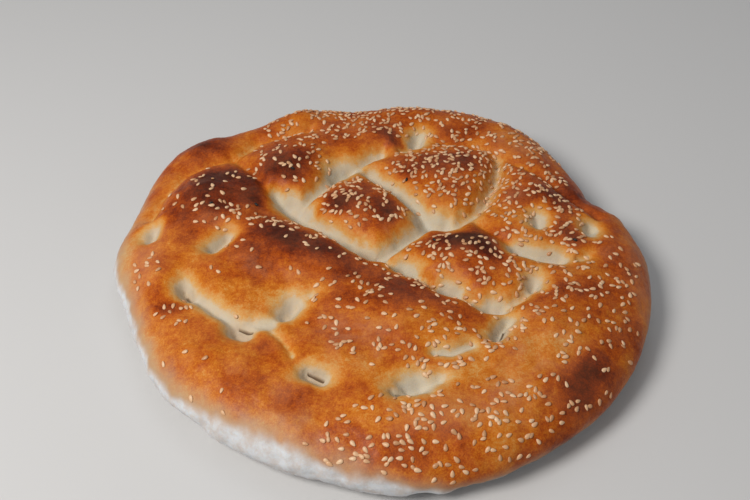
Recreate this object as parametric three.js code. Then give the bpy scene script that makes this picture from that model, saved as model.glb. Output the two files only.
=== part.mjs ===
// A round flatbread with a puffed rim and a hand-pressed lattice of dimples and troughs, baked as one piece.
// Millimetres, +Z up. The origin is the centre of the flat underside, and -Y is the loaf's front.
import * as THREE from "three";

// Driving dimensions of the loaf's section, measured at its mean radius.
const LOAF_RADIUS = 138; // out to the widest line of the rim
const WIDEST_HEIGHT = 14; // of that widest line above the underside
const UNDERSIDE_INSET = 17; // from the widest line in to the edge of the flat underside
const RIM_HEIGHT = 34; // of the rim's crest
const RIM_WIDTH = 50; // from the widest line in to the crest
const CENTRE_RISE = 1; // of the crumb between the presses, above the crest
const RELIEF_FADE = 14; // height above the widest line over which the relief comes in

// The lists below are for a loaf of this radius, and spread in plan with a larger one.
const LISTED_RADIUS = 138;
const SPREAD = LOAF_RADIUS / LISTED_RADIUS;

// How far the rim reaches, as [degrees round from +X, radius].
const OUTLINE = [
  [0, 141], [9, 139], [15, 138], [18, 134], [22, 129], [31, 132], [43, 139], [58, 147], [76, 143], [88, 139],
  [98, 136], [104, 141], [111, 146], [121, 141], [131, 143], [140, 151], [149, 149], [164, 140], [180, 140],
  [197, 131], [218, 132], [240, 132], [257, 134], [272, 139], [288, 140], [305, 139], [322, 140], [341, 140],
];

// The baker's presses: each is a finger mark or a trough along a path, in plan, with how deep it goes
// and how far to the side its wall reaches.
const PRESSES = [
  { path: [[-56, 43], [-46, 29], [-35, 19], [-25, 11], [-15, 3], [-4, -6]], depth: 12, reach: 6 },
  { path: [[-10, -1], [-3, -6]], depth: 12, reach: 7 },
  { path: [[-4, -6], [12, -17], [25, -27], [37, -34], [52, -42]], depth: 9, reach: 4.5 },
  { path: [[10, -15], [14, -18]], depth: 12, reach: 6 },
  { path: [[33, -31], [36, -33]], depth: 12, reach: 6 },
  { path: [[54, -42], [58, -43]], depth: 11, reach: 6 },
  { path: [[-49, 36], [-43, 29]], depth: 12, reach: 10 },
  { path: [[-2, -6], [8, 1], [16, 9], [25, 18], [35, 22]], depth: 11, reach: 7 },
  { path: [[24, 24], [34, 20]], depth: 11, reach: 9 },
  { path: [[-6, 62], [3, 53], [10, 45], [18, 35], [27, 24]], depth: 10, reach: 6 },
  { path: [[30, 22], [40, 20], [51, 28], [59, 39], [64, 52], [66, 64], [67, 75]], depth: 10, reach: 6 },
  { path: [[-45, 32], [-37, 43], [-30, 52], [-24, 61], [-16, 70], [-7, 76], [1, 80]], depth: 10, reach: 6 },
  { path: [[-23, 61], [-17, 67]], depth: 12, reach: 8 },
  { path: [[22, 92], [23, 96]], depth: 10, reach: 6 },
  { path: [[22, 92], [14, 83]], depth: 6, reach: 6 },
  { path: [[14, 88], [32, 92], [50, 89], [66, 78]], depth: 4, reach: 6 },
  {
    path: [
      [-124, 27], [-118, 46], [-109, 61], [-96, 70], [-84, 74],
      [-78, 82], [-70, 92], [-55, 98], [-42, 103],
    ],
    depth: 5,
    reach: 5,
  },
  { path: [[-83, 76], [-73, 65], [-67, 55], [-61, 45], [-54, 39]], depth: 5, reach: 5 },
  { path: [[-121, 9], [-121, 15]], depth: 7, reach: 4.5 },
  { path: [[-86, -3], [-80, 3]], depth: 9, reach: 5 },
  { path: [[-94, -35], [-84, -43], [-74, -52], [-67, -58]], depth: 6, reach: 5 },
  { path: [[-67, -58], [-60, -56], [-52, -57]], depth: 4.5, reach: 7 },
  { path: [[-52, -60], [-46, -69], [-41, -79]], depth: 2.5, reach: 3.5 },
  { path: [[-97, -29], [-94, -35]], depth: 10, reach: 6 },
  { path: [[-69, -59], [-64, -61]], depth: 10, reach: 6 },
  { path: [[-45, -50], [-42, -45]], depth: 9, reach: 6.5 },
  { path: [[-42, -45], [-34, -40]], depth: 4, reach: 4.5 },
  { path: [[-32, -88], [-26, -91]], depth: 8, reach: 4.8 },
  { path: [[13, -97], [18, -95]], depth: 8, reach: 6.5 },
  { path: [[6, -100], [16, -97], [27, -92]], depth: 6, reach: 4.5 },
  { path: [[26, -93], [40, -89], [55, -85]], depth: 2, reach: 9 },
  { path: [[25, -77], [33, -77], [42, -74]], depth: 3.5, reach: 3.2 },
  { path: [[55, -66], [58, -60], [61, -55]], depth: 8, reach: 5 },
  { path: [[58, -43], [69, -38], [76, -30]], depth: 7, reach: 4.5 },
  { path: [[76, -30], [77, -28]], depth: 9, reach: 5.5 },
  { path: [[70, -3], [81, -7], [92, -8]], depth: 9, reach: 6 },
  { path: [[50, 24], [57, 14], [64, 5], [71, -2]], depth: 6, reach: 5 },
  { path: [[83, 17], [84, 21]], depth: 8, reach: 5.5 },
  { path: [[111, 13], [113, 18]], depth: 7, reach: 5 },
  { path: [[103, -9], [107, -7]], depth: 5, reach: 5 },
  { path: [[66, 79], [76, 69], [89, 62], [99, 50], [109, 38], [116, 29]], depth: 5, reach: 5 },
];

// The pillows that the oven raised between the presses: ovals in plan, each with how high it is, how far it
// reaches along and across, and the degrees that it is turned.
const PILLOWS = [
  { at: [-46, -7], rise: 5.5, along: 40, across: 19, turn: -32 },
  { at: [45, -10], rise: 6, along: 24, across: 17, turn: -20 },
  { at: [-10, 29], rise: 4.5, along: 20, across: 15, turn: -30 },
  { at: [38, 57], rise: 4, along: 26, across: 20, turn: 0 },
  { at: [-90, 38], rise: 5.5, along: 28, across: 20, turn: 25 },
  { at: [-50, 65], rise: 4.5, along: 18, across: 18, turn: 0 },
  { at: [8, -52], rise: 4, along: 36, across: 20, turn: -15 },
  { at: [86, 40], rise: 3.5, along: 14, across: 24, turn: 0 },
  { at: [-2, 92], rise: 3, along: 15, across: 12, turn: 0 },
  { at: [-102, 92], rise: 5, along: 20, across: 12, turn: 38 },
  { at: [-48, 112], rise: 6, along: 17, across: 12, turn: 12 },
  { at: [20, 118], rise: 5, along: 34, across: 13, turn: 0 },
  { at: [78, 100], rise: 2.5, along: 22, across: 12, turn: -45 },
  { at: [-76, -88], rise: 2.5, along: 30, across: 16, turn: -38 },
  { at: [-112, -20], rise: 2, along: 36, across: 12, turn: 80 },
  { at: [30, -114], rise: 2.5, along: 50, across: 15, turn: 6 },
  { at: [88, -62], rise: 3, along: 30, across: 20, turn: 50 },
];

// Fineness of the mesh: rings along each stretch of the section, and sectors round it.
const SECTORS = 120;
const UNDERSIDE_RINGS = 2;
const SIDE_RINGS = 4;
const RIM_RINGS = 9;
const CENTRE_RINGS = 18;

const smoothStep = (low, high, value) => THREE.MathUtils.smoothstep(value, low, high);

// The rim's reach at an angle, along a smooth closed curve through the outline's points.
function makeOutline() {
  const points = OUTLINE.map(([degrees, radius]) => {
    const angle = THREE.MathUtils.degToRad(degrees);
    return new THREE.Vector3(radius * Math.cos(angle), radius * Math.sin(angle), 0);
  });
  const curve = new THREE.CatmullRomCurve3(points, true);
  const stations = curve.getPoints(720).map((p) => [Math.atan2(p.y, p.x), Math.hypot(p.x, p.y)]);
  stations.sort((a, b) => a[0] - b[0]);
  const first = stations[0];
  const last = stations[stations.length - 1];
  const ring = [[last[0] - 2 * Math.PI, last[1]], ...stations, [first[0] + 2 * Math.PI, first[1]]];
  return (angle) => {
    const next = ring.findIndex(([at]) => at > angle);
    const [a0, r0] = ring[next - 1];
    const [a1, r1] = ring[next];
    return THREE.MathUtils.mapLinear(angle, a0, a1, r0, r1);
  };
}

// The distance in plan from a point to a path of straight runs.
function distanceToPath(x, y, path) {
  const point = new THREE.Vector3(x, y, 0);
  const nearest = new THREE.Vector3();
  let least = Infinity;
  for (let i = 1; i < path.length; i++) {
    const run = new THREE.Line3(new THREE.Vector3(...path[i - 1], 0), new THREE.Vector3(...path[i], 0));
    run.closestPointToPoint(point, true, nearest);
    least = Math.min(least, point.distanceTo(nearest));
  }
  return least;
}

// Falls from 1 over a press's floor to about a third at its reach, with a long soft shoulder.
const pressProfile = (distance, reach) => (1 + (distance / reach) ** 2) ** -1.5;

// How much the presses lower the top. Where presses meet, the deeper one leads, with a soft join.
const JOIN_POWER = 4;
function pressedDepth(x, y) {
  const depths = PRESSES.map(
    ({ path, depth, reach }) => depth * pressProfile(distanceToPath(x, y, path), reach),
  );
  return depths.reduce((sum, d) => sum + d ** JOIN_POWER, 0) ** (1 / JOIN_POWER);
}

function pillowRise(x, y) {
  const offset = new THREE.Vector2();
  return PILLOWS.reduce((sum, { at, rise, along, across, turn }) => {
    offset.set(x - at[0], y - at[1]).rotateAround(new THREE.Vector2(), -THREE.MathUtils.degToRad(turn));
    return sum + rise * Math.exp(-((offset.x / along) ** 2) - (offset.y / across) ** 2);
  }, 0);
}

// The section from the centre of the underside, round the rim, to the centre of the top.
function makeSection() {
  const flatRadius = LOAF_RADIUS - UNDERSIDE_INSET;
  const crestRadius = LOAF_RADIUS - RIM_WIDTH;
  const centreHeight = RIM_HEIGHT + CENTRE_RISE;
  const underside = new THREE.LineCurve(new THREE.Vector2(0, 0), new THREE.Vector2(flatRadius, 0));
  const quarter = Math.PI / 2;
  const side = new THREE.EllipseCurve(
    flatRadius, WIDEST_HEIGHT, UNDERSIDE_INSET, WIDEST_HEIGHT, -quarter, 0,
  );
  const rim = new THREE.EllipseCurve(
    crestRadius, WIDEST_HEIGHT, RIM_WIDTH, RIM_HEIGHT - WIDEST_HEIGHT, 0, quarter,
  );
  const centre = new THREE.CubicBezierCurve(
    new THREE.Vector2(crestRadius, RIM_HEIGHT),
    new THREE.Vector2(crestRadius * 0.6, RIM_HEIGHT),
    new THREE.Vector2(crestRadius * 0.4, centreHeight),
    new THREE.Vector2(0, centreHeight),
  );
  return [
    ...underside.getPoints(UNDERSIDE_RINGS),
    ...side.getPoints(SIDE_RINGS).slice(1),
    ...rim.getPoints(RIM_RINGS).slice(1),
    ...centre.getPoints(CENTRE_RINGS).slice(1),
  ];
}

// Cuts each quad of the lathed grid along its flatter diagonal, so that its facets follow the troughs.
const QUAD_CORNERS = 6; // index entries in a quad's two triangles
function turnDiagonals(geometry) {
  const height = geometry.getAttribute("position");
  const index = geometry.getIndex();
  for (let i = 0; i < index.count; i += QUAD_CORNERS) {
    const [a, b, d, c] = [0, 1, 2, 3].map((k) => index.getX(i + k));
    const acrossStep = Math.abs(height.getZ(a) - height.getZ(c));
    const builtStep = Math.abs(height.getZ(b) - height.getZ(d));
    if (acrossStep < builtStep) [a, b, c, a, c, d].forEach((vertex, k) => index.setX(i + k, vertex));
  }
}

// Turns the section into a body of revolution, then gives it the hand-shaped outline and the pressed top.
function makeLoaf() {
  const geometry = new THREE.LatheGeometry(makeSection(), SECTORS);
  geometry.rotateX(Math.PI / 2);
  const reachAt = makeOutline();
  const position = geometry.getAttribute("position");
  for (let i = 0; i < position.count; i++) {
    const angle = Math.atan2(position.getY(i), position.getX(i));
    const stretch = reachAt(angle) / LISTED_RADIUS;
    const x = position.getX(i) * stretch;
    const y = position.getY(i) * stretch;
    const z = position.getZ(i);
    const top = smoothStep(WIDEST_HEIGHT, WIDEST_HEIGHT + RELIEF_FADE, z);
    const relief = pillowRise(x / SPREAD, y / SPREAD) - pressedDepth(x / SPREAD, y / SPREAD);
    position.setXYZ(i, x, y, z + top * relief);
  }
  turnDiagonals(geometry);
  geometry.computeVertexNormals();
  const crust = new THREE.MeshStandardMaterial({ color: 0xb5622a, roughness: 0.5, metalness: 0 });
  const loaf = new THREE.Mesh(geometry, crust);
  loaf.name = "loaf";
  return loaf;
}

const flatbread = new THREE.Group();
flatbread.add(makeLoaf());

export default flatbread;
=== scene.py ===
"""A round, hand-pressed flatbread: its baked crust, its seeds and a plain studio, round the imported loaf."""
import math

import bmesh
import bpy
import numpy as np
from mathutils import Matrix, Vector
from mathutils.bvhtree import BVHTree


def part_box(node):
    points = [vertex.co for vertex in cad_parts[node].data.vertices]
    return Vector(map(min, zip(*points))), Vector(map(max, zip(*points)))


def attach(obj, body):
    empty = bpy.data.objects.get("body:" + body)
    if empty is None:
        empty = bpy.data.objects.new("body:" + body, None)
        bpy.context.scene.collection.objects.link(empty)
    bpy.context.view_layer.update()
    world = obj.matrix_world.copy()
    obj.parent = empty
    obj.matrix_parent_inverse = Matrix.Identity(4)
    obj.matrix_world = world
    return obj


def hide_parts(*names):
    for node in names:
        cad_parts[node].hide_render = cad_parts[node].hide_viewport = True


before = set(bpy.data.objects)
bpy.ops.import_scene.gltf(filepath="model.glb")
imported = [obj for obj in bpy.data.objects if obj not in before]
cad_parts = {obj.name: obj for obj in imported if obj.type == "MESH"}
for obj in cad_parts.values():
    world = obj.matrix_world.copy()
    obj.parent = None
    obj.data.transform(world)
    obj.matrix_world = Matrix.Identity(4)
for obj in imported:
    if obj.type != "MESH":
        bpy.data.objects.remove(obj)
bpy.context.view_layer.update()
LOAF_LOW, LOAF_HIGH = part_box("loaf")

# The lists below are drawn on a loaf this wide, in millimetres. MM is one such millimetre on the packed
# loaf, in metres.
DRAWN_SPAN = 281.24
MM = (LOAF_HIGH.x - LOAF_LOW.x) / DRAWN_SPAN

# The loaf's section, in drawn millimetres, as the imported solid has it.
LOAF_RADIUS = 138
WIDEST_HEIGHT = 14
UNDERSIDE_INSET = 17
RIM_HEIGHT = 34
RIM_WIDTH = 50
CENTRE_HEIGHT = 35
RELIEF_FADE = 14

# Where the baker pressed the dough: (path in plan, depth, reach to the side, how pale it baked). A paleness
# over 1 makes the pale floor wider.
PRESSES = [
    # The long trough from the far left to the middle, and on to the near right, with its bowls.
    ([(-56, 43), (-46, 29), (-35, 19), (-25, 11), (-15, 3), (-4, -6)], 12, 6, 1.0),
    ([(-10, -1), (-3, -6)], 12, 7, 1.2),
    ([(-4, -6), (12, -17), (25, -27), (37, -34), (52, -42)], 9, 4.5, 0.75),
    ([(10, -15), (14, -18)], 12, 6, 1.25),
    ([(33, -31), (36, -33)], 12, 6, 1.25),
    ([(54, -42), (58, -43)], 11, 6, 1.2),
    ([(-49, 36), (-43, 29)], 12, 10, 1.2),
    # The troughs round the two lozenges right of it.
    ([(-2, -6), (8, 1), (16, 9), (25, 18), (35, 22)], 11, 7, 1.0),
    ([(24, 24), (34, 20)], 11, 9, 1.25),
    ([(-6, 62), (3, 53), (10, 45), (18, 35), (27, 24)], 10, 6, 1.0),
    ([(30, 22), (40, 20), (51, 28), (59, 39), (64, 52), (66, 64), (67, 75)], 10, 6, 0.75),
    ([(-45, 32), (-37, 43), (-30, 52), (-24, 61), (-16, 70), (-7, 76), (1, 80)], 10, 6, 0.9),
    ([(-23, 61), (-17, 67)], 12, 8, 1.5),
    # The dimple at the far side, and the faint trough beside it.
    ([(22, 92), (23, 96)], 10, 6, 1.3),
    ([(22, 92), (14, 83)], 6, 6, 0.7),
    ([(14, 88), (32, 92), (50, 89), (66, 78)], 4, 6, 0.2),
    # The faint troughs inside the far left rim.
    (
        [(-124, 27), (-118, 46), (-109, 61), (-96, 70), (-84, 74),
         (-78, 82), (-70, 92), (-55, 98), (-42, 103)],
        5,
        5,
        0.55,
    ),
    ([(-83, 76), (-73, 65), (-67, 55), (-61, 45), (-54, 39)], 5, 5, 0.4),
    # The dimples on the left, and the chain of them nearer the front.
    ([(-121, 9), (-121, 15)], 7, 4.5, 1.2),
    ([(-86, -3), (-80, 3)], 9, 5, 1.25),
    ([(-94, -35), (-84, -43), (-74, -52), (-67, -58)], 6, 5, 1.05),
    ([(-67, -58), (-60, -56), (-52, -57)], 4.5, 7, 0.95),
    ([(-52, -60), (-46, -69), (-41, -79)], 2.5, 3.5, 0.65),
    ([(-97, -29), (-94, -35)], 10, 6, 1.2),
    ([(-69, -59), (-64, -61)], 10, 6, 1.2),
    ([(-45, -50), (-42, -45)], 9, 6.5, 1.25),
    ([(-42, -45), (-34, -40)], 4, 4.5, 0.7),
    # The dimples and the crease along the front.
    ([(-32, -88), (-26, -91)], 8, 4.8, 1.25),
    ([(13, -97), (18, -95)], 8, 6.5, 1.35),
    ([(6, -100), (16, -97), (27, -92)], 6, 4.5, 0.9),
    ([(26, -93), (40, -89), (55, -85)], 2, 9, 0.3),
    ([(25, -77), (33, -77), (42, -74)], 3.5, 3.2, 0.95),
    ([(55, -66), (58, -60), (61, -55)], 8, 5, 1.15),
    # The short troughs and the dimples on the right.
    ([(58, -43), (69, -38), (76, -30)], 7, 4.5, 0.75),
    ([(76, -30), (77, -28)], 9, 5.5, 1.15),
    ([(70, -3), (81, -7), (92, -8)], 9, 6, 1.2),
    ([(50, 24), (57, 14), (64, 5), (71, -2)], 6, 5, 0.3),
    ([(83, 17), (84, 21)], 8, 5.5, 1.15),
    ([(111, 13), (113, 18)], 7, 5, 1.1),
    ([(103, -9), (107, -7)], 5, 5, 0.7),
    # The faint trough inside the far right rim.
    ([(66, 79), (76, 69), (89, 62), (99, 50), (109, 38), (116, 29)], 5, 5, 0.35),
]

# The pillows that the oven raised: (centre in plan, rise, reach along, reach across, turn in degrees).
PILLOWS = [
    ((-46, -7), 5.5, 40, 19, -32),
    ((45, -10), 6, 24, 17, -20),
    ((-10, 29), 4.5, 20, 15, -30),
    ((38, 57), 4, 26, 20, 0),
    ((-90, 38), 5.5, 28, 20, 25),
    ((-50, 65), 4.5, 18, 18, 0),
    ((8, -52), 4, 36, 20, -15),
    ((86, 40), 3.5, 14, 24, 0),
    ((-2, 92), 3, 15, 12, 0),
    ((-102, 92), 5, 20, 12, 38),
    ((-48, 112), 6, 17, 12, 12),
    ((20, 118), 5, 34, 13, 0),
    ((78, 100), 2.5, 22, 12, -45),
    ((-76, -88), 2.5, 30, 16, -38),
    ((-112, -20), 2, 36, 12, 80),
    ((30, -114), 2.5, 50, 15, 6),
    ((88, -62), 3, 30, 20, 50),
]

# Slits that the fingertips cut in the floor of a press: (path in plan, half-width, depth).
SLITS = [
    ([(-96, -32), (-93, -36)], 0.5, 0.8),
    ([(-67.5, -55.5), (-61, -59)], 0.35, 1.1),
    ([(-33, -85.5), (-26, -89)], 0.35, 1.1),
    ([(57, -64), (59, -59)], 0.5, 1.2),
    ([(7, -99), (11, -98)], 0.5, 0.7),
    ([(-43, -49), (-40, -50)], 0.5, 0.8),
]

# How brown the crust is away from the patches below, from 0, raw dough, to 1, burnt.
PLAIN_BROWNING = 0.46
# Where it is browner, or paler: (centre in plan, reach along, reach across, turn in degrees, change).
BROWNED = [
    ((40, -3), 14, 8, 18, 0.36),
    ((54, -10), 12, 8, -45, 0.34),
    ((-47, -1), 31, 12, -18, 0.18),
    ((-42, -8), 34, 13, -25, 0.12),
    ((10, -36), 28, 10, -22, 0.20),
    ((-14, -46), 16, 5, -8, 0.12),
    ((-86, 49), 21, 12, 18, 0.26),
    ((-86, 54), 16, 7, 15, 0.10),
    ((-88, 33), 28, 17, 0, 0.20),
    ((-67, 38), 6, 16, 20, 0.20),
    ((-49, 62), 13, 15, 0, 0.30),
    ((-62, 68), 8, 14, 0, 0.12),
    ((-22, 29), 9, 8, 0, 0.27),
    ((4, 22), 8, 11, 0, 0.29),
    ((-10, 36), 12, 10, 0, 0.12),
    ((40, 66), 26, 11, 0, 0.24),
    ((36, 46), 12, 8, 0, 0.10),
    ((14, 52), 8, 6, 0, 0.15),
    ((6, 91), 10, 12, 0, 0.26),
    ((46, 100), 14, 8, 0, 0.14),
    ((-22, 93), 12, 10, 0, 0.16),
    ((95, 38), 8, 12, 30, 0.28),
    ((100, 8), 12, 8, -40, 0.25),
    ((80, 44), 14, 18, 0, 0.09),
    ((108, 48), 10, 22, 25, 0.20),
    ((-100, 84), 14, 14, 0, 0.18),
    ((-72, 96), 12, 6, 35, 0.12),
    ((88, -38), 20, 7, 10, 0.18),
    ((94, -87), 17, 8, 38, 0.32),
    ((112, -45), 16, 40, 0, 0.04),
    ((124, -8), 10, 34, 0, 0.09),
    ((84, -110), 20, 6, 40, 0.14),
    ((10, -124), 24, 7, 0, 0.12),
    ((58, -104), 14, 9, 10, -0.06),
    ((-70, -16), 14, 8, -20, 0.08),
    ((-98, 20), 16, 9, 0, 0.12),
    ((44, -27), 14, 6, -20, 0.12),
    ((-5, -72), 20, 10, -10, 0.07),
    ((-66, -66), 14, 5, -15, 0.12),
    ((-62, -92), 12, 10, 0, 0.10),
    ((-30, -100), 14, 8, 0, 0.12),
    ((-102, -44), 8, 5, 0, 0.20),
    ((-55, -38), 20, 8, -10, -0.10),
    ((76, -72), 14, 14, 20, -0.10),
    ((44, -86), 20, 7, 25, -0.10),
    ((-5, -88), 10, 6, 0, -0.10),
    ((-118, -60), 12, 40, 25, -0.10),
    ((-80, -104), 30, 12, -40, -0.10),
    ((-132, 0), 8, 40, 0, -0.12),
    ((25, -106), 44, 14, 5, -0.05),
    ((-10, 5), 75, 55, -15, 0.06),
    ((20, 118), 70, 16, 0, 0.07),
    ((-104, 86), 16, 16, 0, 0.08),
    ((-78, 10), 16, 7, -20, -0.10),
]

# How much painted rosy sheen, standing in for the soft light's reflection, lies on the crust away from the
# patches below.
PLAIN_PAINTED_SHEEN = 0.14
# Where there is more of that painted sheen: (centre in plan, reach along, reach across, turn in degrees,
# share).
PAINTED_SHEEN = [
    ((-12, -68), 26, 16, -20, 0.7),
    ((-55, -94), 20, 10, -20, 0.6),
    ((-88, -76), 14, 10, 0, 0.2),
    ((70, -72), 20, 18, 20, 0.8),
    ((28, -112), 44, 12, 5, 0.5),
    ((-56, -22), 20, 7, -20, 0.6),
    ((-80, 10), 15, 7, -15, 0.8),
    ((36, 36), 12, 7, 0, 0.6),
    ((3, 12), 5, 7, 0, 0.6),
    ((132, -24), 8, 40, 0, 0.6),
    ((118, -6), 14, 10, 0, 0.4),
    ((-36, 96), 26, 9, 10, 0.5),
    ((78, 90), 20, 12, -45, 0.6),
    ((76, 32), 10, 14, 0, 0.6),
    ((58, -104), 18, 12, 10, 0.9),
    ((-122, -18), 12, 38, 0, 0.7),
]

# How high up the side it is white with flour, and how high it stayed dough coloured:
# (degrees round from +X, height of the flour, height of the dough colour).
PALE_SIDE = [
    (0, 12, 19), (20, 9, 16), (45, 6, 12), (90, 8, 14), (135, 8, 16), (165, 17, 22), (180, 20, 25),
    (195, 20, 25), (210, 19, 25), (222, 18, 24), (231, 19.5, 25), (241, 22, 27), (251, 24, 27.5),
    (257, 21, 25), (265, 18.5, 22.5), (273, 17, 21), (281, 11, 15), (290, 8, 12), (300, 7, 12),
    (320, 6, 11), (340, 7, 14),
]
# Each is gone this far above its height, and full this far below it.
FLOUR_FADE = (2, 3)
DOUGH_FADE = (4, 6)

# Sesame: (centre in plan, reach along, reach across, turn in degrees, number of seeds).
SESAME = [
    ((38, -118), 60, 20, 10, 330),
    ((94, -46), 27, 40, 0, 160),
    ((14, -56), 44, 26, -10, 165),
    ((44, -20), 30, 18, -12, 190),
    ((-42, -4), 40, 16, -20, 40),
    ((-44, 8), 22, 7, -15, 26),
    ((-100, -50), 9, 7, 0, 14),
    ((-118, -18), 7, 12, 0, 12),
    ((-72, -62), 46, 46, 0, 22),
    ((-82, 18), 14, 8, 0, 24),
    ((-92, 42), 26, 18, 20, 34),
    ((-50, 68), 20, 20, 0, 70),
    ((-8, 32), 20, 17, 0, 125),
    ((38, 58), 30, 24, 0, 300),
    ((84, 32), 21, 36, 0, 270),
    ((32, 106), 70, 17, -12, 400),
    ((-32, 106), 30, 16, 8, 120),
    ((108, -10), 20, 24, 0, 60),
    ((33, -76), 18, 12, 10, 40),
]

# Where few of them stuck: (centre in plan, reach along, reach across, turn in degrees, share lost).
BARE = [
    ((94, -87), 17, 10, 38, 0.95),
    ((72, -72), 12, 8, 20, 0.7),
]

# Nigella: each seed's place in plan.
NIGELLA = [(-66, 28), (-89, 24), (-48, 57), (15, 51), (28, -2), (101, 3)]

SESAME_LENGTH = 3.2
SESAME_WIDTH = 2.0
SESAME_THICKNESS = 1.0
NIGELLA_LENGTH = 2.7
NIGELLA_WIDTH = 1.5
SEED_SIZES = (0.86, 1.1)  # the least and the greatest share of those sizes that a seed has
SEED_GAP = 1.7  # the least there is between two seeds' middles
SESAME_LIFT = 0.22  # of a seed's middle above the crust
NIGELLA_LIFT = 0.3
SEED_LEAN = 0.12  # how far a seed tips from the crust, as a slope
STEEPEST_SEAT = 0.3  # seeds stay off crust whose normal rises less than this
SHUNS_PALE = 0.9  # the share of sesame seeds that miss the palest dough
PATCH_EDGE = 1.25  # seeds scatter this many reaches out from their patch's centre
RANDOM_SEED = 11  # for the seeds' places and turns

# The dough's unevenness: (height, wavelength, random seed, octaves).
PRESSES_WANDER_X = (1.3, 15, 51, 1)
PRESSES_WANDER_Y = (1.3, 15, 61, 1)
TOP_SWELLS = (1.1, 26, 11, 3)
CRUST_LUMPS = (0.35, 9, 31, 3)
CRUST_RIPPLES = (0.14, 3.2, 41, 2)
FLOUR_LUMPS = (0.8, 9, 81, 3)
RAGGED_SIDE = (1.6, 8, 71, 3)
LUMPY_FROM = (0.2, 3.0)  # heights between which the lumps come in, above the flat underside
NOISE_CELLS = 64
NOISE_OFFSET = 1000  # keeps every place in the noise's positive cells

# The camera stands at the loaf's front, and looks a little beyond its middle.
CAMERA_OFFSET = (-2.5, -403, 388)
CAMERA_PITCH = 41.8
CAMERA_LENS = 50
CAMERA_SENSOR = 36

# Fineness of the loaf's mesh: the cage's cuts, and the further cuts of faces this near a slit. Its points
# down to the polar angle lie on the top and the side, and the few below it on the underside.
SPHERE_CUTS = 124
SLIT_CUTS = 6
SLIT_SURROUND = 3.5
SIDE_POLAR_ANGLE = math.radians(140)
SECTION_STEPS = 60
OUTLINE_STEP = 3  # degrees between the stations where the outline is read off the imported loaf
JOIN_POWER = 4  # how sharply the deeper of two meeting presses leads
STRETCHED_MARGIN = 4  # how far past a press's reach its skin is stretched thin
FULL_SLIT_SHADE_DEPTH = 1.1  # slits as deep as this get the full painted shade


def smooth_step(low, high, value):
    t = np.clip((value - low) / (high - low), 0, 1)
    return t * t * (3 - 2 * t)


def bell(distance):
    return np.exp(-(distance**2))


def distance_to_path(x, y, path):
    """How far each point in plan is from a path of straight runs."""
    least = np.full(np.shape(x), np.inf)
    for (x0, y0), (x1, y1) in zip(path, path[1:]):
        dx, dy = x1 - x0, y1 - y0
        along = np.clip(((x - x0) * dx + (y - y0) * dy) / (dx * dx + dy * dy), 0, 1)
        least = np.minimum(least, np.hypot(x - x0 - along * dx, y - y0 - along * dy))
    return least


def oval(x, y, centre, reach_along, reach_across, turn):
    """1 at the centre of a turned oval patch in plan, falling smoothly to 0 past its reach."""
    c, s = math.cos(math.radians(turn)), math.sin(math.radians(turn))
    along = (x - centre[0]) * c + (y - centre[1]) * s
    across = (y - centre[1]) * c - (x - centre[0]) * s
    return bell(np.hypot(along / reach_along, across / reach_across))


def lattice_noise(points, wavelength, seed):
    """Smooth seeded noise from -1 to 1 at each point, with features about a wavelength apart."""
    table = np.random.default_rng(seed).uniform(-1, 1, (NOISE_CELLS,) * 3)
    scaled = points / wavelength + NOISE_OFFSET
    cell = np.floor(scaled).astype(int)
    part = scaled - cell
    part = part**3 * (part * (part * 6 - 15) + 10)
    total = np.zeros(len(points))
    for corner in np.ndindex(2, 2, 2):
        weight = np.prod(np.where(corner, part, 1 - part), axis=1)
        i, j, k = ((cell + corner) % NOISE_CELLS).T
        total += weight * table[i, j, k]
    return total


def uneven(points, height, wavelength, seed, octaves):
    """Seeded ups and downs of about a height at each point, each octave half as high and half as wide."""
    layers = (lattice_noise(points, wavelength / 2**n, seed + n) / 2**n for n in range(octaves))
    return height * sum(layers)


def on_plan(x, y):
    return np.stack([x, y, np.zeros(np.shape(x))], axis=-1)


# ---- The loaf's form


def outline_of(loaf):
    """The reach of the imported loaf's widest line, as a function of the angle round it."""
    co = np.array([v.co for v in loaf.data.vertices]) / MM
    radius = np.hypot(co[:, 0], co[:, 1])
    degrees = np.degrees(np.arctan2(co[:, 1], co[:, 0])) % 360
    stations = np.arange(0, 360, OUTLINE_STEP)
    bins = np.round(degrees / OUTLINE_STEP).astype(int) % len(stations)
    reach = np.array([radius[bins == i].max() for i in range(len(stations))])

    def at(angle):
        return np.interp(np.degrees(angle) % 360, stations, reach, period=360)

    return at


def section():
    """The section from the top's centre round the rim to the underside's centre, as lengths along it, radii
    and heights, and how far along it the flat underside starts."""
    crest = LOAF_RADIUS - RIM_WIDTH
    flat = LOAF_RADIUS - UNDERSIDE_INSET
    quarter = np.linspace(0, math.pi / 2, SECTION_STEPS)
    centre_r = np.linspace(0, crest, SECTION_STEPS)
    centre_z = RIM_HEIGHT + (CENTRE_HEIGHT - RIM_HEIGHT) * (1 - (centre_r / crest) ** 2) ** 2
    rim_r = crest + RIM_WIDTH * np.sin(quarter)
    rim_z = WIDEST_HEIGHT + (RIM_HEIGHT - WIDEST_HEIGHT) * np.cos(quarter)
    side_r = flat + UNDERSIDE_INSET * np.cos(quarter)
    side_z = WIDEST_HEIGHT * (1 - np.sin(quarter))
    r = np.concatenate([centre_r, rim_r[1:], side_r[1:], [0]])
    z = np.concatenate([centre_z, rim_z[1:], side_z[1:], [0]])
    along = np.concatenate([[0], np.cumsum(np.hypot(np.diff(r), np.diff(z)))])
    return along, r, z, along[-2]


def press_profile(away, reach):
    """Falls from 1 over a press's floor to about a third at its reach, with a long soft shoulder."""
    return (1 + (away / reach) ** 2) ** -1.5


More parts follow.
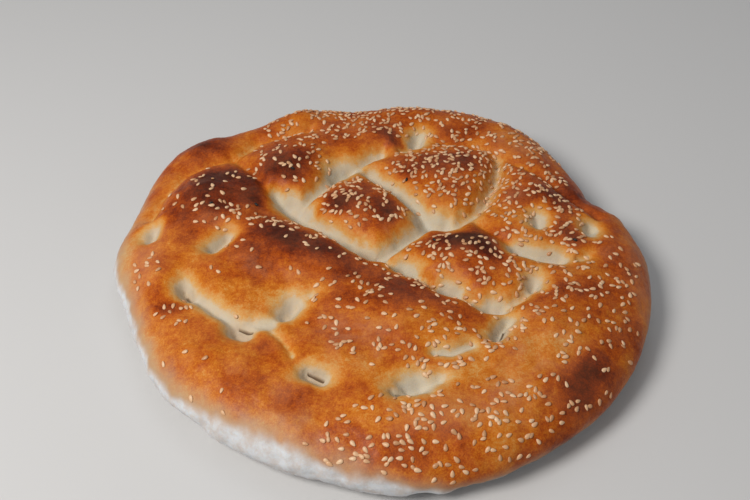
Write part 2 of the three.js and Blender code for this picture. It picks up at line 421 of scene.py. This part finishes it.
def pressed(x, y):
    """How deep the presses go at each point, how pale they left it, and how thin they stretched its skin."""
    plan = on_plan(x, y)
    x = x + uneven(plan, *PRESSES_WANDER_X)
    y = y + uneven(plan, *PRESSES_WANDER_Y)
    depth = np.zeros(np.shape(x))
    pale = np.zeros(np.shape(x))
    stretched = np.zeros(np.shape(x))
    for path, deep, reach, paleness in PRESSES:
        away = distance_to_path(x, y, path)
        depth += (deep * press_profile(away, reach)) ** JOIN_POWER
        pale = np.maximum(pale, paleness * bell(away / reach))
        stretched = np.maximum(stretched, paleness * bell(away / (reach + STRETCHED_MARGIN)))
    return depth ** (1 / JOIN_POWER), pale, stretched


def raised(x, y):
    """How high the pillows stand at each point."""
    return sum(
        rise * oval(x, y, centre, along, across, turn)
        for centre, rise, along, across, turn in PILLOWS
    )


def slit_at(x, y):
    """How deep the slits go at each point, and how much painted shade colours them."""
    depth = np.zeros(np.shape(x))
    slit_shade = np.zeros(np.shape(x))
    for path, half_width, deep in SLITS:
        near = bell(distance_to_path(x, y, path) / half_width)
        depth = np.maximum(depth, deep * near)
        slit_shade = np.maximum(slit_shade, near * min(1, deep / FULL_SLIT_SHADE_DEPTH))
    return depth, slit_shade


def browning_at(x, y):
    """How brown the crust is at each point, and how much painted sheen lies on it."""
    brown = np.full(np.shape(x), PLAIN_BROWNING)
    for centre, along, across, turn, change in BROWNED:
        brown += change * oval(x, y, centre, along, across, turn)
    painted_sheen = np.full(np.shape(x), PLAIN_PAINTED_SHEEN)
    for centre, along, across, turn, share in PAINTED_SHEEN:
        painted_sheen = np.maximum(painted_sheen, share * oval(x, y, centre, along, across, turn))
    return brown, painted_sheen


def side_lines(angle):
    """How high the flour reaches up the side at an angle, and how high the dough colour does."""
    degrees, *lines = np.array(PALE_SIDE).T
    return [np.interp(np.degrees(angle) % 360, degrees, line, period=360) for line in lines]


def side_at(places, angle):
    """How white with flour the side is at each place, and how dough coloured."""
    flour_top, dough_top = side_lines(angle)
    height = places[:, 2] + uneven(places, *RAGGED_SIDE)
    flour = 1 - smooth_step(flour_top - FLOUR_FADE[1], flour_top + FLOUR_FADE[0], height)
    dough = 1 - smooth_step(dough_top - DOUGH_FADE[1], dough_top + DOUGH_FADE[0], height)
    return flour, dough


def shape_loaf(directions, reach_at):
    """Each direction's place on the loaf, and what shades the crust there."""
    along, r, z, underside = section()
    polar = np.arccos(np.clip(directions[:, 2], -1, 1))
    angle = np.arctan2(directions[:, 1], directions[:, 0])
    rest = (polar - SIDE_POLAR_ANGLE) / (math.pi - SIDE_POLAR_ANGLE)
    upper = underside * polar / SIDE_POLAR_ANGLE
    lower = underside + (along[-1] - underside) * rest
    at = np.where(rest < 0, upper, lower)
    radius = np.interp(at, along, r) * reach_at(angle) / LOAF_RADIUS
    height = np.interp(at, along, z)
    x, y = radius * np.cos(angle), radius * np.sin(angle)
    depth, pale, stretched = pressed(x, y)
    slit, slit_shade = slit_at(x, y)
    on_top = at < underside - UNDERSIDE_INSET * math.pi / 2
    relief = raised(x, y) + uneven(on_plan(x, y), *TOP_SWELLS) - depth
    fade = smooth_step(WIDEST_HEIGHT, WIDEST_HEIGHT + RELIEF_FADE, height)
    height = height + fade * relief - np.where(on_top, slit, 0)
    places = np.stack([x, y, height], axis=1)
    brown, painted_sheen = browning_at(x, y)
    flour, dough = side_at(places, angle)
    shades = {
        "browning": brown,
        "painted_sheen": painted_sheen,
        "pale": np.where(on_top, pale, 0),
        "stretched": np.where(on_top, stretched, 0),
        # painted shade in the slits, fuller where they are deeper
        "slit": np.where(on_top, slit_shade, 0),
        "flour": np.where(at >= underside, 1, flour),
        "dough": dough,
    }
    return places, shades


def loaf_cage(reach_at):
    """A cube of even quads, cut finer where slits come. Its points stand for directions from the middle."""
    cage = bmesh.new()
    bmesh.ops.create_cube(cage, size=2)
    bmesh.ops.subdivide_edges(cage, edges=cage.edges[:], cuts=SPHERE_CUTS, use_grid_fill=True)
    cage.faces.ensure_lookup_table()
    centres = np.array([f.calc_center_median() for f in cage.faces])
    places = shape_loaf(to_sphere(centres), reach_at)[0]
    near = np.full(len(centres), np.inf)
    for path, _, _ in SLITS:
        near = np.minimum(near, distance_to_path(places[:, 0], places[:, 1], path))
    chosen = np.nonzero((near < SLIT_SURROUND) & (places[:, 2] > WIDEST_HEIGHT))[0]
    edges = {e for i in chosen for e in cage.faces[i].edges}
    bmesh.ops.subdivide_edges(cage, edges=list(edges), cuts=SLIT_CUTS, use_grid_fill=True)
    return cage


def to_sphere(cube_points):
    """Points of a cube from -1 to 1 as directions, with nearly even angles between them."""
    warped = np.tan(np.clip(cube_points, -1, 1) * math.pi / 4)
    return warped / np.linalg.norm(warped, axis=1, keepdims=True)


def set_floats(mesh, name, values):
    attribute = mesh.attributes.new(name, "FLOAT", "POINT")
    attribute.data.foreach_set("value", np.asarray(values, np.float32))


def vectors_of(items, name):
    """A vector of each item of a mesh's collection, such as each vertex's co, as rows."""
    values = np.empty(len(items) * 3, np.float32)
    items.foreach_get(name, values)
    return values.reshape(-1, 3)


def move_points(mesh, places):
    mesh.vertices.foreach_set("co", (places * MM).astype(np.float32).ravel())
    mesh.update()


def add_object(name, mesh):
    obj = bpy.data.objects.new(name, mesh)
    bpy.context.scene.collection.objects.link(obj)
    return obj


def make_loaf():
    reach_at = outline_of(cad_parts["loaf"])
    cage = loaf_cage(reach_at)
    mesh = bpy.data.meshes.new("loaf_crust")
    cage.to_mesh(mesh)
    cage.free()
    directions = to_sphere(vectors_of(mesh.vertices, "co").astype(float))
    places, shades = shape_loaf(directions, reach_at)
    move_points(mesh, places)
    normals = vectors_of(mesh.vertex_normals, "vector")
    lumps = uneven(places, *CRUST_LUMPS) + uneven(places, *CRUST_RIPPLES)
    lumps += shades["flour"] * uneven(places, *FLOUR_LUMPS)
    lumps *= smooth_step(*LUMPY_FROM, places[:, 2])
    moved = places + normals * lumps[:, None]
    moved[:, 2] = np.maximum(moved[:, 2], 0)
    move_points(mesh, moved)
    for name, values in shades.items():
        set_floats(mesh, name, values)
    mesh.shade_smooth()
    mesh.update()
    return add_object("loaf_crust", mesh)


# ---- Seeds


def seed_form(length, width, thickness, around=8, rings=6, taper=0.3, tip=1.06):
    """One seed lying along X, blunt at one end and drawn out to a tip at the other: its points and faces."""
    stations = -np.cos(np.linspace(0, math.pi, rings + 1))[1:-1]
    turns = np.arange(around) * 2 * math.pi / around
    girths = np.sqrt(1 - stations**2) * (1 - taper * stations)
    ring_points = [
        (length / 2 * station, width / 2 * girth * math.cos(turn), thickness / 2 * girth * math.sin(turn))
        for station, girth in zip(stations, girths)
        for turn in turns
    ]
    points = np.array([(-length / 2, 0, 0), *ring_points, (length / 2 * tip, 0, 0)])
    last, rows = len(points) - 1, len(stations)

    def corner(row, k):
        return 1 + row * around + k % around

    faces = [(0, corner(0, k + 1), corner(0, k)) for k in range(around)]
    faces += [
        (corner(row, k), corner(row, k + 1), corner(row + 1, k + 1), corner(row + 1, k))
        for row in range(rows - 1)
        for k in range(around)
    ]
    faces += [(last, corner(rows - 1, k), corner(rows - 1, k + 1)) for k in range(around)]
    return points, faces


def scatter(rng):
    """Places in plan for the sesame seeds. Pale dough and the bare places keep fewer of them."""
    places = []
    for centre, along, across, turn, number in SESAME:
        c, s = math.cos(math.radians(turn)), math.sin(math.radians(turn))
        for _ in range(number):
            radius = math.sqrt(rng.random()) * PATCH_EDGE
            angle = rng.random() * 2 * math.pi
            u, v = along * radius * math.cos(angle), across * radius * math.sin(angle)
            places.append((centre[0] + u * c - v * s, centre[1] + u * s + v * c))
    x, y = np.array(places).T
    lost = SHUNS_PALE * pressed(x, y)[1]
    for centre, along, across, turn, share in BARE:
        lost = np.maximum(lost, share * oval(x, y, centre, along, across, turn))
    return [place for place, share in zip(places, lost) if rng.random() > share]


def seat_at(tree, x, y):
    """The crust's point and normal under a place in plan, or None where a seed wouldn't stick."""
    above = Vector((x * MM, y * MM, LOAF_HIGH.z * 2))
    point, normal, _, _ = tree.ray_cast(above, Vector((0, 0, -1)))
    if point is None or normal.z < STEEPEST_SEAT:
        return None
    flour_line = side_lines(math.atan2(y, x))[0]
    return (point, normal) if point.z >= flour_line * MM else None


def laid_on(rng, point, normal, points, lift):
    """A seed's points, turned any way round and laid on the crust, a little larger or smaller."""
    heading = rng.random() * 2 * math.pi
    lean = Vector((rng.normal() * SEED_LEAN, rng.normal() * SEED_LEAN, 0))
    up = (normal + lean).normalized()
    along = Vector((math.cos(heading), math.sin(heading), 0))
    along = (along - up * along.dot(up)).normalized()
    size = rng.uniform(*SEED_SIZES)
    turned = np.array([along, up.cross(along), up])
    return np.array(point) + np.array(up) * MM * lift * size + points * size * MM @ turned


def plant_seeds(name, crust, places, form, rng, lift):
    """One mesh of separate seeds, each lying on the crust at its place."""
    tree = BVHTree.FromObject(crust, bpy.context.evaluated_depsgraph_get())
    points, faces = form
    kept, corners, polygons, tones = [], [], [], []
    for x, y in places:
        if kept and np.min(np.hypot(*(np.array(kept) - (x, y)).T)) < SEED_GAP:
            continue
        seat = seat_at(tree, x, y)
        if seat is None:
            continue
        first = len(points) * len(kept)
        kept.append((x, y))
        corners.append(laid_on(rng, *seat, points, lift))
        polygons += [tuple(first + i for i in face) for face in faces]
        tones.append(np.full(len(points), rng.random()))
    mesh = bpy.data.meshes.new(name)
    mesh.from_pydata(np.concatenate(corners), [], polygons)
    set_floats(mesh, "tone", np.concatenate(tones))
    mesh.shade_smooth()
    return add_object(name, mesh)


# ---- Materials


def new_material(name):
    material = bpy.data.materials.new(name)
    material.use_nodes = True
    nodes = material.node_tree.nodes
    return material, material.node_tree, nodes["Principled BSDF"]


def add_node(tree, kind, inputs=None, **settings):
    """A new shader node with its settings, and its inputs set to values or linked to other nodes' outputs."""
    node = tree.nodes.new(kind)
    for key, value in settings.items():
        setattr(node, key, value)
    for key, value in (inputs or {}).items():
        if isinstance(value, bpy.types.NodeSocket):
            tree.links.new(value, node.inputs[key])
        else:
            node.inputs[key].default_value = value
    return node


def attribute_of(tree, name):
    return add_node(tree, "ShaderNodeAttribute", attribute_name=name).outputs["Fac"]


def maths(tree, operation, *values, clamp=False):
    node = add_node(tree, "ShaderNodeMath", dict(enumerate(values)), operation=operation, use_clamp=clamp)
    return node.outputs[0]


def mottled(tree, value, noise, amount):
    """A value, raised and lowered by up to half an amount as the noise is above or below a half."""
    return maths(tree, "MULTIPLY_ADD", maths(tree, "SUBTRACT", noise, 0.5), amount, value)


def map_range(tree, value, low, high, to_low, to_high):
    """A value's smooth way from to_low, where it is low, to to_high, where it is high."""
    inputs = {0: value, 1: low, 2: high, 3: to_low, 4: to_high}
    node = add_node(tree, "ShaderNodeMapRange", inputs, interpolation_type="SMOOTHSTEP")
    return node.outputs[0]


def bumped(tree, height, distance, strength, below=None):
    """A normal for the shader: bumps of a height's share of a distance, over another such normal."""
    inputs = {"Height": height, "Distance": distance * MM, "Strength": strength}
    if below is not None:
        inputs["Normal"] = below
    return add_node(tree, "ShaderNodeBump", inputs).outputs["Normal"]


def noise_of(tree, place, wavelength, detail=4.0, roughness=0.55, distortion=0.0):
    """Noise about a half, with features about a wavelength, in drawn millimetres, apart."""
    inputs = {
        "Vector": place,
        "Scale": 1 / (wavelength * MM),
        "Detail": detail,
        "Roughness": roughness,
        "Distortion": distortion,
    }
    return add_node(tree, "ShaderNodeTexNoise", inputs).outputs["Fac"]


def ramp_of(tree, value, stops):
    node = add_node(tree, "ShaderNodeValToRGB", {"Fac": value})
    elements = node.color_ramp.elements
    while len(elements) < len(stops):
        elements.new(0.5)
    for element, (position, color) in zip(elements, stops):
        element.position = position
        element.color = (*color, 1)
    return node.outputs["Color"]


def mix_colors(tree, share, first, second):
    node = add_node(tree, "ShaderNodeMix", {"Factor": share}, data_type="RGBA")
    for key, value in (("A", first), ("B", second)):
        socket = next(s for s in node.inputs if s.name == key and s.type == "RGBA")
        if isinstance(value, bpy.types.NodeSocket):
            tree.links.new(value, socket)
        else:
            socket.default_value = (*value, 1)
    return next(s for s in node.outputs if s.type == "RGBA")


def srgb(*levels):
    """A linear colour from the usual red, green and blue levels of 0 to 255."""
    shares = [level / 255 for level in levels]
    return tuple(((c + 0.055) / 1.055) ** 2.4 if c > 0.04045 else c / 12.92 for c in shares)


# The crust's colour as it browns, from raw dough to burnt.
CRUST_STOPS = [
    (0.00, srgb(196, 189, 174)),
    (0.12, srgb(203, 186, 155)),
    (0.24, srgb(210, 158, 88)),
    (0.38, srgb(203, 117, 28)),
    (0.52, srgb(172, 76, 8)),
    (0.66, srgb(122, 42, 5)),
    (0.80, srgb(74, 22, 6)),
    (1.00, srgb(34, 11, 7)),
]
# What lies over that colour, and how much of it each hides at its thickest.
# A rosy painted sheen, standing in for the soft light's reflection on the glossy crust.
SHEEN_PAINT_COLOR = srgb(198, 132, 94)
SHEEN_PAINT_COVER = 0.7
DOUGH_COLOR = srgb(180, 152, 122)
DOUGH_COVER = 0.86
FLOUR_COLOR = srgb(210, 213, 216)
FLOUR_COVER = 0.95
# Painted shade in the slits: their narrow depths coloured as if shade falls in them.
SLIT_SHADE_COLOR = srgb(88, 62, 38)
SLIT_SHADE_COVER = 0.9

SESAME_STOPS = [(0.0, srgb(190, 136, 92)), (0.5, srgb(216, 168, 124)), (1.0, srgb(228, 190, 150))]
SESAME_ROUGHNESS = 0.42
NIGELLA_STOPS = [(0.0, srgb(20, 18, 17)), (1.0, srgb(38, 34, 32))]
NIGELLA_ROUGHNESS = 0.6

# How much the noises mottle the browning, the stretched skin, and the edge and the floor of a press.
BROAD_MOTTLE = 0.5
FINE_MOTTLE = 0.34
GRAIN_MOTTLE = 0.28
THIN_MOTTLE = 0.5
EDGE_PATCHES = 0.9
EDGE_FRAYS = 0.35
FLOOR_MOTTLE = 0.25
FLOOR_BROWNING = 0.06  # of a press's floor


def browned(tree, shades, noises):
    """How brown the crust is, with its mottling, its golden stretched skin and its pale presses."""
    patchy, fine = noises["patchy"], noises["fine"]
    brown = mottled(tree, shades["browning"], noises["broad"], BROAD_MOTTLE)
    brown = mottled(tree, brown, fine, FINE_MOTTLE)
    brown = mottled(tree, brown, noises["grain"], GRAIN_MOTTLE)

    # Stretched skin keeps less than half of its browning.
    thin = mottled(tree, shades["stretched"], patchy, THIN_MOTTLE)
    brown = maths(tree, "MULTIPLY", brown, map_range(tree, thin, 0.1, 1.05, 1, 0.45))

    # The floor of a press is nearly raw, with a ragged edge.
    edge = mottled(tree, shades["pale"], patchy, EDGE_PATCHES)
    edge = mottled(tree, edge, fine, EDGE_FRAYS)
    paled = map_range(tree, edge, 0.4, 1.05, 0, 1)
    floor_brown = mottled(tree, FLOOR_BROWNING, patchy, FLOOR_MOTTLE)
    change = maths(tree, "SUBTRACT", floor_brown, brown)
    return maths(tree, "ADD", brown, maths(tree, "MULTIPLY", paled, change))


def covered(tree, color, share, cover, over):
    """A colour under another one, that hides it as far as its share and its cover say."""
    return mix_colors(tree, maths(tree, "MULTIPLY", share, cover), color, over)


def crust_material():
    material, tree, shader = new_material("baked_crust")
    place = add_node(tree, "ShaderNodeTexCoord").outputs["Object"]
    # The "slit" shade is the painted shade in the slits.
    names = ("browning", "painted_sheen", "pale", "stretched", "slit", "flour", "dough")
    shades = {name: attribute_of(tree, name) for name in names}
    noises = {
        "broad": noise_of(tree, place, 14, detail=5, distortion=0.4),
        "patchy": noise_of(tree, place, 5, detail=6, roughness=0.65),
        "fine": noise_of(tree, place, 2.2, detail=5, roughness=0.65),
        "grain": noise_of(tree, place, 0.7, detail=2),
    }
    sheen_veil_noise = noise_of(tree, place, 20, detail=6, roughness=0.6, distortion=0.5)
    dusts = noise_of(tree, place, 5, detail=6, roughness=0.7)

    # The painted sheen comes in soft sweeps, and the flour thinner in some spots than in others.
    sheen_veil = maths(tree, "MULTIPLY", shades["painted_sheen"], map_range(tree, sheen_veil_noise, 0.4, 0.6, 0.2, 1))
    dusty = map_range(tree, dusts, 0.35, 0.62, 0, 1)
    dust = maths(tree, "MULTIPLY", shades["flour"], maths(tree, "MULTIPLY_ADD", dusty, 0.35, 0.65))

    brown = browned(tree, shades, noises)
    color = ramp_of(tree, brown, CRUST_STOPS)
    # Painted sheen over the browned colour, standing in for the light's reflection.
    color = covered(tree, color, sheen_veil, SHEEN_PAINT_COVER, SHEEN_PAINT_COLOR)
    color = covered(tree, color, shades["dough"], DOUGH_COVER, DOUGH_COLOR)
    color = covered(tree, color, dust, FLOUR_COVER, FLOUR_COLOR)
    # Painted shade in the slits.
    color = covered(tree, color, shades["slit"], SLIT_SHADE_COVER, SLIT_SHADE_COLOR)
    tree.links.new(color, shader.inputs["Base Color"])

    # Brown crust is glossier than pale dough, and flour is dull.
    roughness = map_range(tree, brown, 0.1, 0.5, 0.66, 0.4)
    roughness = mottled(tree, roughness, noises["fine"], 0.25)
    roughness = maths(tree, "MULTIPLY_ADD", dust, 0.4, roughness, clamp=True)
    tree.links.new(roughness, shader.inputs["Roughness"])
    shader.inputs["Subsurface Weight"].default_value = 0.04
    shader.inputs["Subsurface Radius"].default_value = (1.0, 0.55, 0.25)
    shader.inputs["Subsurface Scale"].default_value = 2 * MM
    shader.inputs["Specular IOR Level"].default_value = 0.13

    skin = noise_of(tree, place, 3.0, detail=4, roughness=0.6, distortion=0.6)
    pores = noise_of(tree, place, 0.9, detail=3, roughness=0.6)
    normal = bumped(tree, skin, distance=0.35, strength=0.6)
    normal = bumped(tree, pores, distance=0.16, strength=0.7, below=normal)
    tree.links.new(normal, shader.inputs["Normal"])
    return material


def seed_material(name, stops, roughness):
    material, tree, shader = new_material(name)
    place = add_node(tree, "ShaderNodeTexCoord").outputs["Object"]
    tone = attribute_of(tree, "tone")
    mottle = noise_of(tree, place, 0.8, detail=3)
    shade = mottled(tree, tone, mottle, 0.3)
    tree.links.new(ramp_of(tree, shade, stops), shader.inputs["Base Color"])
    shader.inputs["Roughness"].default_value = roughness
    normal = bumped(tree, mottle, distance=0.08, strength=0.5)
    tree.links.new(normal, shader.inputs["Normal"])
    return material


# ---- Studio


FLOOR_REACH = 15.0
FLOOR_COLOR = (0.62, 0.61, 0.6)
FLOOR_ROUGHNESS = 0.85
SKY_COLOR = (0.95, 0.97, 1.0)
SKY_STRENGTH = 0.28


def make_floor():
    mesh = bpy.data.meshes.new("studio_floor")
    corners = [(FLOOR_REACH * x, FLOOR_REACH * y, 0) for x, y in ((-1, -1), (1, -1), (1, 1), (-1, 1))]
    mesh.from_pydata(corners, [], [(0, 1, 2, 3)])
    floor = add_object("studio_floor", mesh)
    material, _, shader = new_material("studio_floor")
    shader.inputs["Base Color"].default_value = (*FLOOR_COLOR, 1)
    shader.inputs["Roughness"].default_value = FLOOR_ROUGHNESS
    mesh.materials.append(material)


def add_softbox(name, place, size, power, color, shines=True):
    """A round soft light that looks at the loaf, and shows in its gloss only if it shines."""
    light = bpy.data.lights.new(name, "AREA")
    light.shape = "DISK"
    light.size = size
    light.energy = power
    light.color = color
    obj = add_object(name, light)
    obj.location = place
    obj.visible_glossy = shines
    obj.rotation_euler = (-Vector(place)).to_track_quat("-Z", "Y").to_euler()


def make_studio():
    make_floor()
    world = bpy.data.worlds.new("studio")
    world.use_nodes = True
    background = world.node_tree.nodes["Background"]
    background.inputs["Color"].default_value = (*SKY_COLOR, 1)
    background.inputs["Strength"].default_value = SKY_STRENGTH
    bpy.context.scene.world = world
    add_softbox("key", place=(-0.6, -0.45, 0.85), size=0.45, power=9.6, color=(1.0, 0.985, 0.96))
    add_softbox("fill", place=(0.1, 0.5, 1.1), size=0.7, power=1.2, color=(0.93, 0.96, 1.0), shines=False)
    bpy.context.scene.view_settings.view_transform = "Standard"


def make_camera():
    camera = bpy.data.cameras.new("camera")
    camera.lens = CAMERA_LENS
    camera.sensor_width = CAMERA_SENSOR
    obj = add_object("camera", camera)
    obj.location = Vector(CAMERA_OFFSET) * MM
    obj.rotation_euler = (math.radians(90 - CAMERA_PITCH), 0, 0)
    bpy.context.scene.camera = obj


# ---- Pieces


def make_crust():
    loaf = make_loaf()
    loaf.data.materials.append(crust_material())
    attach(loaf, "root")
    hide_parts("loaf")
    return loaf


def make_sesame(loaf, rng):
    form = seed_form(SESAME_LENGTH, SESAME_WIDTH, SESAME_THICKNESS)
    sesame = plant_seeds("sesame_seeds", loaf, scatter(rng), form, rng, SESAME_LIFT)
    sesame.data.materials.append(seed_material("sesame", SESAME_STOPS, SESAME_ROUGHNESS))
    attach(sesame, "root")


def make_nigella(loaf, rng):
    form = seed_form(NIGELLA_LENGTH, NIGELLA_WIDTH, NIGELLA_WIDTH, around=5, rings=5, taper=0.35)
    nigella = plant_seeds("nigella_seeds", loaf, NIGELLA, form, rng, NIGELLA_LIFT)
    nigella.data.materials.append(seed_material("nigella", NIGELLA_STOPS, NIGELLA_ROUGHNESS))
    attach(nigella, "root")


def main():
    make_camera()
    crust = make_crust()
    rng = np.random.default_rng(RANDOM_SEED)
    make_sesame(crust, rng)
    make_nigella(crust, rng)
    make_studio()


main()
